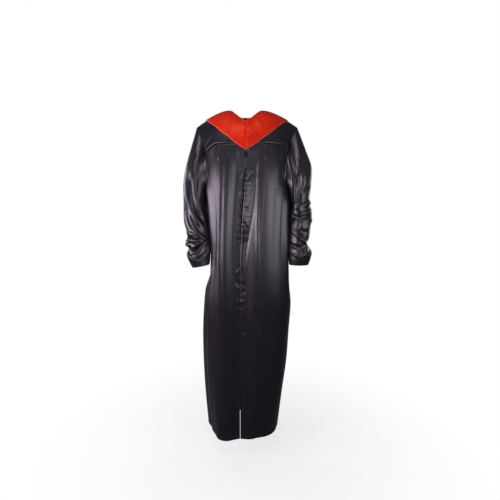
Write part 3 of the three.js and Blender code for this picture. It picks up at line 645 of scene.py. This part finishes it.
# Places are (distance from the front line, outwards, and distance along the sleeve). The outer line is
# about 75 to 60 out and the back line about -150 to -120.
SLEEVE_CREASES = {
    "right": [
        (22, 6, 0.2, [(60, 110), (54, 165), (42, 205), (16, 240), (-14, 264), (-44, 280)]),
        (20, -5, 0.1, [(24, 120), (8, 180), (-22, 225), (-50, 245)]),
        (17, 6, 0.2, [(36, 238), (14, 285), (-12, 322), (-36, 338)]),
        (13, -4, 0.2, [(58, 250), (44, 290), (26, 318)]),
        (13, 5, 0.2, [(78, 336), (40, 334), (8, 326)]),
        (12, -8, 0.3, [(80, 362), (40, 357), (4, 351), (-34, 338)]),
        (12, 6, 0.2, [(80, 386), (52, 377), (24, 374)]),
        (12, 6, 0.4, [(-48, 316), (-18, 348), (14, 380), (46, 402)]),
        (10, -5, 0.2, [(-36, 352), (-4, 386), (30, 414)]),
        (10, 5, 0.3, [(62, 402), (32, 420), (2, 438)]),
        (10, -4, 0.2, [(-46, 388), (-22, 412), (-2, 434)]),
        (12, 4, 0.2, [(-70, 340), (-56, 380), (-30, 420)]),
        (23, 5, 0.1, [(30, 20), (34, 70), (46, 130)]),
        (18, -4, 0.1, [(0, 30), (-6, 90), (-20, 150)]),
        (21, 6, 0.2, [(-120, 60), (-140, 150), (-170, 230), (-190, 270)]),
        (18, -5, 0.1, [(-180, 90), (-165, 170), (-130, 240)]),
        (14, 6, 0.3, [(-190, 318), (-150, 330), (-110, 318)]),
        (13, -7, 0.3, [(-196, 350), (-150, 356), (-100, 346)]),
        (13, 6, 0.3, [(-180, 385), (-140, 374), (-96, 392)]),
        (12, -5, 0.2, [(-160, 408), (-120, 420), (-80, 410)]),
    ],
    "left": [
        (16, 6, 0.2, [(2, 12), (-18, 45), (-34, 95), (-40, 150), (-30, 190), (-4, 218), (26, 232)]),
        (16, -5, 0.2, [(12, 84), (-4, 122), (-26, 148), (-50, 170)]),
        (26, 5, 0.1, [(6, 40), (22, 110), (34, 160)]),
        (10, -5, 0.2, [(8, 166), (36, 176), (74, 192)]),
        (16, 9, 0.2, [(22, 226), (48, 238), (86, 250)]),
        (13, -9, 0.2, [(-64, 200), (-34, 236), (-2, 262), (40, 282), (84, 286)]),
        (10, 7, 0.4, [(-8, 246), (-34, 262), (-44, 288), (-22, 318), (0, 348), (22, 370), (38, 392),
                     (24, 412), (-4, 432)]),
        (13, -6, 0.2, [(2, 278), (-14, 294), (2, 322), (30, 346)]),
        (13, 6, 0.2, [(80, 310), (52, 312), (28, 324)]),
        (12, -7, 0.2, [(-62, 340), (-34, 368), (-2, 386), (20, 398)]),
        (12, -6, 0.2, [(84, 376), (66, 384), (50, 398)]),
        (9, 4, 0.2, [(-46, 400), (-26, 414), (-12, 426)]),
        (12, 4, 0.2, [(70, 404), (56, 420), (40, 430)]),
        (21, 6, 0.2, [(-130, 70), (-120, 150), (-150, 230)]),
        (18, -5, 0.1, [(-180, 80), (-176, 160), (-140, 220)]),
        (16, 8, 0.2, [(-206, 250), (-170, 262), (-120, 246)]),
        (13, -8, 0.3, [(-210, 284), (-160, 292), (-104, 272)]),
        (12, 6, 0.4, [(-190, 312), (-150, 330), (-120, 360), (-84, 372)]),
        (12, -6, 0.2, [(-196, 366), (-150, 384), (-110, 400)]),
        (10, 5, 0.2, [(-170, 410), (-130, 420), (-90, 408)]),
    ],
}
SLEEVE_COLUMNS, SLEEVE_RINGS = 93, 150
sleeve_grids = {}
for side in SIDES:
    points, out, along = sleeve_surface(side, SLEEVE_COLUMNS, SLEEVE_RINGS)
    sleeve_inside = points.reshape(-1, 3).mean(axis=0)
    girth = (out[:, :1] - out[:, -1:])
    folds = SLEEVE_CREASES[side]
    height = crease_height(out, along, folds) + crease_height(out + girth, along, folds)
    points = points + outward(points, sleeve_inside) * height[..., None]
    points[:, -1] = points[:, 0]
    sleeve_grids[side] = points
    size = (0.30, 0.52)
    sleeve = cloth_piece(f"sleeve_{side}_cloth", face_out(points, sleeve_inside), size, 1.0, black_satin,
                         wrap=True)
    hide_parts(f"sleeve_{side}")
    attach(sleeve, "gown")

# ---- Collar ----
# The V collar is red satin over a stiff interlining, in two fronts seamed down the centre and one back,
# caught in the neckline. Its outer edge is turned and pressed over a thin roll.
red_satin = satin("red satin", (0.60, 0.008, 0.004), (0.82, 0.028, 0.006), 0.36, 0.14, 0.7, 0.02,
                  (1.0, 0.24, 0.12))
COLLAR_POINT_DROP = {"front": 172, "back": 128}
COLLAR_COLUMNS, COLLAR_ROWS = 64, 40
# Places are (column from the centre seam, row from the neck edge). The centre seam stands up, and the
# left front has a crease running from it down to the edge.
COLLAR_CREASES = {
    "right": [
        (15, 5.0, 0.6, [(-1, -12), (0, 14), (0, 30), (0, 52)]),
        (10, 2.2, 0.4, [(15, 6), (17, 18), (20, 32)]),
        (11, 2.6, 0.3, [(40, 4), (38, 18), (41, 36)]),
    ],
    "left": [
        (15, 5.0, 0.6, [(-1, -12), (0, 14), (0, 30), (0, 52)]),
        (4, 1.3, 0.5, [(3, 14), (9, 24), (17, 34), (22, 40)]),
        (9, 1.8, 0.4, [(17, 5), (20, 14), (25, 24)]),
        (11, 2.8, 0.3, [(37, 4), (37, 18), (41, 34)]),
    ],
    "back": [
        (14, 2.0, 0.2, [(63, -6), (63, 16), (63, 44)]),
        (12, -1.5, 0.2, [(34, 4), (36, 20), (32, 36)]),
        (12, -1.5, 0.2, [(92, 4), (88, 20), (94, 36)]),
    ],
}


def collar_surface(side, face):
    """Points of half a collar, from its centre seam out to the shoulder, neck edge first."""
    s = SIDES[side]
    along = (1 - np.linspace(0, 1, COLLAR_COLUMNS)[None, :]) ** 1.4
    out = np.linspace(0, 1, COLLAR_ROWS)[:, None]

    def across_at(x):
        return np.where(x < NECK_HALF_WIDTH, x / NECK_HALF_WIDTH,
                        1 + (x - NECK_HALF_WIDTH) / (s["shoulder"] - NECK_HALF_WIDTH))

    outer = across_at(s["collar_out"] * (1 - along))
    start = np.maximum(across_at(np.array(float(s["collar_out"]))) - 1, 0) ** SHOULDER_CURVE * SHOULDER_DROP
    outer_up = up_at_drop(side, face, outer, lerp(start, COLLAR_POINT_DROP[face], along))
    outer_up = np.where(along == 0, 1, outer_up)
    neck = 1 - along
    return yoke_point(side, face, lerp(neck, outer, out), lerp(neck_up(side, face, neck), outer_up, out))


def lift_collar(points, creases):
    """Stands a collar off the yoke, with its creases and its rolled edge."""
    column, row = np.meshgrid(np.arange(points.shape[1], dtype=float), np.arange(float(COLLAR_ROWS)))
    out = row / (COLLAR_ROWS - 1)
    clear = lerp(1.9, 3.4, np.minimum(out * 5, 1))
    roll = 0.7 * np.exp(-(((out - 0.965) / 0.02) ** 2)) - 1.2 * smoothstep(out, 0.975, 1)
    height = clear + roll + crease_height(column, row, creases)
    return points + outward(points, SHOULDERS) * height[..., None]


def tube(bm, path, radius, sides=8):
    """A round cord along a path of points in millimetres, closed at its ends."""
    along = np.gradient(path, axis=0)
    along /= np.linalg.norm(along, axis=1, keepdims=True)
    level = np.cross(along, (0.31, 0.17, 0.93))
    level /= np.linalg.norm(level, axis=1, keepdims=True)
    upright = np.cross(level, along)
    turn = np.linspace(0, 2 * math.pi, sides + 1)[None, :, None]
    ring = path[:, None] + radius * (np.cos(turn) * level[:, None] + np.sin(turn) * upright[:, None])
    steps = len(path) - 1
    made = bmesh.ops.create_grid(bm, x_segments=sides, y_segments=steps, size=1, calc_uvs=True)["verts"]
    for vert, place in zip(made, ring.reshape(-1, 3) * MM):
        vert.co = place
    cloth_map = bm.loops.layers.uv["cloth"]
    girth, length = 2 * math.pi * radius * MM, np.linalg.norm(np.diff(path, axis=0), axis=1).sum() * MM
    for face in {face for vert in made for face in vert.link_faces}:
        for loop in face.loops:
            loop[cloth_map].uv = (loop[cloth_map].uv[0] * girth, loop[cloth_map].uv[1] * length)
    bmesh.ops.remove_doubles(bm, verts=[v for v in made if v.is_boundary], dist=1e-7)
    rims = [e for e in bm.edges if e.is_boundary]
    bmesh.ops.holes_fill(bm, edges=rims, sides=sides)


def joined_piece(name, bm, material, smooth=True):
    """One object from everything in a bmesh, facing out."""
    bmesh.ops.recalc_face_normals(bm, faces=bm.faces)
    for face in bm.faces:
        face.smooth = smooth
    mesh = bpy.data.meshes.new(name)
    bm.to_mesh(mesh)
    bm.free()
    mesh.materials.append(material)
    piece = bpy.data.objects.new(name, mesh)
    bpy.context.scene.collection.objects.link(piece)
    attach(piece, "gown")
    return piece


collar_grids = {}
for side in SIDES:
    points = lift_collar(collar_surface(side, "front"), COLLAR_CREASES[side])
    points[:, 0, 0] = 0
    collar_grids[side] = points
    collar = cloth_piece(f"collar_front_{side}_cloth", face_out(points, SHOULDERS), (0.19, 0.14), 1.3,
                         red_satin)
    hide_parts(f"collar_front_{side}")
    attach(collar, "gown")
right, left = collar_surface("right", "back"), collar_surface("left", "back")
points = lift_collar(np.concatenate([right[:, :0:-1], left], axis=1), COLLAR_CREASES["back"])
collar_grids["back"] = points
collar = cloth_piece("collar_back_cloth", face_out(points, SHOULDERS), (0.36, 0.12), 1.3, red_satin)
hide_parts("collar_back")
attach(collar, "gown")

# The collar's edges are rolled over and pressed into a thin cord along the outer and neck edges. The cord
# is the same red satin; its paler pink colour is a painted highlight, standing in for the light that the
# rolled edge catches.
highlight_roll_satin = satin("rolled edge satin with painted highlight", (0.92, 0.17, 0.09), (0.97, 0.30, 0.19), 0.34, 0.05, 0.7, 0.3,
                     (1.0, 0.80, 0.72))
bm = bmesh.new()
bm.loops.layers.uv.new("cloth")
for points in collar_grids.values():
    tube(bm, points[-1] - outward(points, SHOULDERS)[-1] * 0.5, 0.95)
    tube(bm, points[0] - outward(points, SHOULDERS)[0] * 0.5, 0.75)
edges = joined_piece("collar_rolled_edges", bm, highlight_roll_satin)

# ---- Zip ----
# A long coil zip closes the fronts from under the collar's point to a metal stop above the hem. Its
# woven tapes are stitched behind the fronts, and the left front's edge stands forward of the chain.
ZIP_TOP, ZIP_END = 182, 1139
TAPE_SEWN_AT, TAPE_BEHIND = 12, 1.7
COIL_PITCH, COIL_TOOTH = 1.6, (0.0021, 0.0012, 0.0010, 1)
zip_tape = bpy.data.materials.new("zip tape")
zip_tape.use_nodes = True
zip_tape.node_tree.nodes.clear()
add = add_nodes(zip_tape.node_tree)
ribs = add("ShaderNodeTexWave", {"Vector": add("ShaderNodeTexCoord").outputs["Object"], "Scale": 480.0,
                                 "Distortion": 0.4}, bands_direction="Z").outputs["Fac"]
rib_tone = add("ShaderNodeMix", {"Factor": ribs}, data_type="RGBA")
rib_tone.inputs["A"].default_value = (0.006, 0.006, 0.007, 1)
rib_tone.inputs["B"].default_value = (0.016, 0.016, 0.018, 1)
rib_bump = add("ShaderNodeBump", {"Height": ribs, "Strength": 0.4, "Distance": 0.0002}).outputs[0]
tape_look = add("ShaderNodeBsdfPrincipled", {"Base Color": rib_tone.outputs["Result"], "Roughness": 0.75,
                                             "Normal": rib_bump})
add("ShaderNodeOutputMaterial", {"Surface": tape_look.outputs[0]})


def across_grid(side, distance):
    """Each row's point on a front, a distance from the zip, with its normal."""
    points, across = front_grids[side]
    normals = outward(points, TORSO)
    column = distance / across[:, 1]
    low = np.clip(column.astype(int), 0, points.shape[1] - 2)
    share = (column - low)[:, None]
    rows = np.arange(len(points))
    return lerp(points[rows, low], points[rows, low + 1], share), normals[rows, low]


drops = -front_grids["right"][0][:, 0, 2]
rows_beside_zip = (drops > 170) & (drops < ZIP_END + 6)
chain_drops = drops[rows_beside_zip]
for side in SIDES:
    sign = SIDES[side]["sign"]
    inner = body_point(0.0, chain_drops) + np.array([sign * 0.7, 1.9, 0])
    sewn, normals = across_grid(side, TAPE_SEWN_AT)
    behind = sewn - normals * TAPE_BEHIND
    if side == "right":
        outer = behind[rows_beside_zip]
    else:
        outer = np.stack([np.interp(chain_drops, -sewn[:, 2], column) for column in behind.T], axis=-1)
    points = np.stack([lerp(inner, outer, k / 4) for k in range(5)], axis=1)
    tape = cloth_piece(f"zip_tape_{side}_cloth", face_out(points, TORSO), (0.012, 0.97), 0.5, zip_tape)
    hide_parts(f"zip_tape_{side}")
    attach(tape, "gown")

bm = bmesh.new()
for count, drop in enumerate(np.arange(ZIP_TOP, ZIP_END, COIL_PITCH)):
    x, y, z = body_point(0.0, drop) * MM
    shift = 0.00055 * (1 if count % 2 else -1)
    at = Matrix.Translation((x + shift, y + 0.0011, z))
    bmesh.ops.create_cube(bm, size=1, matrix=at @ Matrix.Diagonal(COIL_TOOTH))
bmesh.ops.bevel(bm, geom=bm.edges, offset=0.00018, segments=1, profile=0.5, affect="EDGES", material=-1)
coil = joined_piece("zip_coil", bm, zip_tape, smooth=False)
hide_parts("zip_chain")

# The slider, its pull and the bottom stop are blackened metal, in small random blotches of darker and
# brighter tone and gloss.
zip_metal = bpy.data.materials.new("blackened metal")
zip_metal.use_nodes = True
zip_metal.node_tree.nodes.clear()
add = add_nodes(zip_metal.node_tree)
place = add("ShaderNodeTexCoord").outputs["Object"]
blotch = add("ShaderNodeTexNoise", {"Vector": place, "Scale": 420.0, "Detail": 4.0}).outputs["Fac"]
metal_tone = add("ShaderNodeMix", {"Factor": blotch}, data_type="RGBA")
metal_tone.inputs["A"].default_value = (0.012, 0.012, 0.013, 1)
metal_tone.inputs["B"].default_value = (0.055, 0.053, 0.052, 1)
metal_gloss = add("ShaderNodeMapRange", {"Value": blotch, "To Min": 0.28, "To Max": 0.48}).outputs[0]
metal_bump = add("ShaderNodeBump", {"Height": blotch, "Strength": 0.15, "Distance": 0.0001}).outputs[0]
metal_look = add("ShaderNodeBsdfPrincipled", {"Base Color": metal_tone.outputs["Result"], "Metallic": 0.85,
                                              "Roughness": metal_gloss, "Normal": metal_bump})
add("ShaderNodeOutputMaterial", {"Surface": metal_look.outputs[0]})
for name in ("zip_slider", "zip_pull", "zip_stop"):
    node = bpy.data.objects[name]
    for slot in node.material_slots:
        slot.material = zip_metal

# ---- Stitching ----
# Lockstitch in polyester thread: twin rows of black beside the zip's edges and along the hems, cuffs
# and yoke seams, and red along the collar. Stitches are about 2.6 mm, with a small gap between.
# Row -5 of a panel or sleeve, counted from its lower edge, is where its hem is stitched.
ZIP_STITCHES_AT, HEM_ROW = 6.5, -5


def stitch_row(bm, path, normals, pitch=3.4):
    """Small rounded stitches laid along a path of points in millimetres."""
    run = np.concatenate([[0], np.cumsum(np.linalg.norm(np.diff(path, axis=0), axis=1))])
    places = np.arange(pitch / 2, run[-1], pitch)
    centres = np.stack([np.interp(places, run, path[:, k]) for k in range(3)], axis=1)
    ends = np.stack([np.interp(places + 1, run, path[:, k]) for k in range(3)], axis=1)
    ups = np.stack([np.interp(places, run, normals[:, k]) for k in range(3)], axis=1)
    for centre, end, up in zip(centres, ends, ups):
        along = Vector(end - centre).normalized()
        side_way = Vector(up).cross(along).normalized()
        up = along.cross(side_way)
        turn = Matrix((along * 1.3 * MM, side_way * 0.28 * MM, up * 0.24 * MM)).transposed().to_4x4()
        at = Matrix.Translation(Vector(centre * MM)) @ turn
        bmesh.ops.create_icosphere(bm, subdivisions=1, radius=1, matrix=at)


def thread(name, deep, lit):
    """Twisted polyester thread."""
    material = bpy.data.materials.new(name)
    material.use_nodes = True
    material.node_tree.nodes.clear()
    add = add_nodes(material.node_tree)
    place = add("ShaderNodeTexCoord").outputs["Object"]
    ply = add("ShaderNodeTexNoise", {"Vector": place, "Scale": 2600.0, "Detail": 1.0}).outputs["Fac"]
    tone = add("ShaderNodeMix", {"Factor": ply}, data_type="RGBA")
    tone.inputs["A"].default_value = (*deep, 1)
    tone.inputs["B"].default_value = (*lit, 1)
    look = add("ShaderNodeBsdfPrincipled", {"Base Color": tone.outputs["Result"], "Roughness": 0.5,
                                            "Sheen Weight": 0.3})
    add("ShaderNodeOutputMaterial", {"Surface": look.outputs[0]})
    return material


bm = bmesh.new()
for side in SIDES:
    points, across = front_grids[side]
    normals = outward(points, TORSO)
    path, ups = across_grid(side, ZIP_STITCHES_AT)
    stitch_row(bm, path, ups)
    stitch_row(bm, points[HEM_ROW], normals[HEM_ROW])
    yoke, ups = yoke_grids[side], outward(yoke_grids[side], SHOULDERS)
    stitch_row(bm, yoke[-2], ups[-2])
    cuff = sleeve_grids[side]
    stitch_row(bm, cuff[HEM_ROW], outward(cuff, cuff.reshape(-1, 3).mean(axis=0))[HEM_ROW])
stitch_row(bm, back_grid[HEM_ROW], outward(back_grid, TORSO)[HEM_ROW])
stitch_row(bm, yoke_grids["back"][-2], outward(yoke_grids["back"], SHOULDERS)[-2])
black_thread = thread("black thread", (0.010, 0.010, 0.012), (0.03, 0.03, 0.034))
stitching = joined_piece("black_stitching", bm, black_thread)

bm = bmesh.new()
for points in collar_grids.values():
    normals = outward(points, SHOULDERS)
    stitch_row(bm, points[-4], normals[-4], pitch=3.2)
    stitch_row(bm, points[2], normals[2], pitch=3.2)
red_thread = thread("red thread", (0.45, 0.02, 0.015), (0.65, 0.05, 0.03))
stitching = joined_piece("red_stitching", bm, red_thread)

# ---- Floor, light and camera ----
# A plain pale floor under the hanging gown, soft boxes at chest height to either side, and a camera at
# chest height, tilted down a little.
floor_bm = bmesh.new()
bmesh.ops.create_circle(floor_bm, cap_ends=True, segments=96, radius=9)
floor_mesh = bpy.data.meshes.new("floor")
floor_bm.to_mesh(floor_mesh)
floor_bm.free()
floor = bpy.data.objects.new("floor", floor_mesh)
floor.location = (0, 0, -1.448)
bpy.context.scene.collection.objects.link(floor)
floor_material = bpy.data.materials.new("pale floor")
floor_material.use_nodes = True
floor_material.node_tree.nodes.clear()
add = add_nodes(floor_material.node_tree)
near = add("ShaderNodeTexCoord").outputs["Object"]
distance = add("ShaderNodeVectorMath", {0: near}, operation="LENGTH").outputs["Value"]
fade = add("ShaderNodeMapRange", {"Value": distance, "From Min": 0.1, "From Max": 1.1, "To Min": 0.7},
           interpolation_type="SMOOTHSTEP").outputs[0]
painted = add("ShaderNodeBsdfPrincipled", {"Base Color": (0.95, 0.95, 0.95, 1), "Roughness": 0.8})
lit = add("ShaderNodeEmission", {"Color": (1, 1, 1, 1), "Strength": 1.0})
shown = add("ShaderNodeMixShader", {0: fade, 1: painted.outputs[0], 2: lit.outputs[0]})
dim = add("ShaderNodeBsdfDiffuse", {"Color": (0.10, 0.10, 0.10, 1)})
direct = add("ShaderNodeLightPath").outputs["Is Camera Ray"]
floor_look = add("ShaderNodeMixShader", {0: direct, 1: dim.outputs[0], 2: shown.outputs[0]})
add("ShaderNodeOutputMaterial", {"Surface": floor_look.outputs[0]})
floor_mesh.materials.append(floor_material)


def soft_box(name, place, aim, width, height, power, tint=(1, 1, 1)):
    """A large soft light, aimed at a point."""
    light = bpy.data.lights.new(name, "AREA")
    light.shape = "RECTANGLE"
    light.size = width
    light.size_y = height
    light.energy = power
    light.color = tint
    lamp = bpy.data.objects.new(name, light)
    lamp.location = place
    lamp.rotation_euler = (Vector(aim) - Vector(place)).to_track_quat("-Z", "Y").to_euler()
    bpy.context.scene.collection.objects.link(lamp)
    return lamp


soft_box("tall left box", (-1.93, -0.52, -0.42), (0, 0, -0.48), 0.7, 0.8, 15, (0.97, 0.90, 1.0))
soft_box("front left box", (-1.52, -1.36, -0.43), (0, 0, -0.46), 0.55, 0.66, 18, (0.97, 0.90, 1.0))
soft_box("front right box", (1.05, -1.70, -0.40), (0, 0, -0.44), 0.6, 0.75, 8, (0.93, 0.96, 1.0))
soft_box("right box", (1.6, -1.2, -0.45), (0, 0, -0.55), 0.7, 0.7, 5, (0.95, 0.97, 1.0))
soft_box("overhead", (-0.18, -1.27, 0.98), (0, 0, -0.3), 0.8, 0.7, 9)
soft_box("rear left", (-1.5, 1.9, 0.0), (0, 0, -0.6), 1.0, 1.0, 16)
soft_box("rear right", (1.7, 1.7, -0.2), (0, 0, -0.6), 1.0, 1.0, 12)

world = bpy.data.worlds.new("studio")
world.use_nodes = True
bpy.context.scene.world = world
add = add_nodes(world.node_tree)
world.node_tree.nodes.clear()
seen = add("ShaderNodeLightPath").outputs["Is Camera Ray"]
room = add("ShaderNodeBackground", {"Color": (0.80, 0.80, 1.0, 1), "Strength": 0.115})
backdrop = add("ShaderNodeBackground", {"Color": (1, 1, 1, 1), "Strength": 1.0})
chosen = add("ShaderNodeMixShader", {0: seen, 1: room.outputs[0], 2: backdrop.outputs[0]})
add("ShaderNodeOutputWorld", {"Surface": chosen.outputs[0]})

camera_data = bpy.data.cameras.new("camera")
camera_data.lens = 26
camera_data.sensor_width = 36
camera = bpy.data.objects.new("camera", camera_data)
camera.location = (0.017, -1.542, -0.434)
camera.rotation_euler = (math.radians(90 - 5.22), 0, 0)
bpy.context.scene.collection.objects.link(camera)
bpy.context.scene.camera = camera
bpy.context.scene.view_settings.view_transform = "Standard"
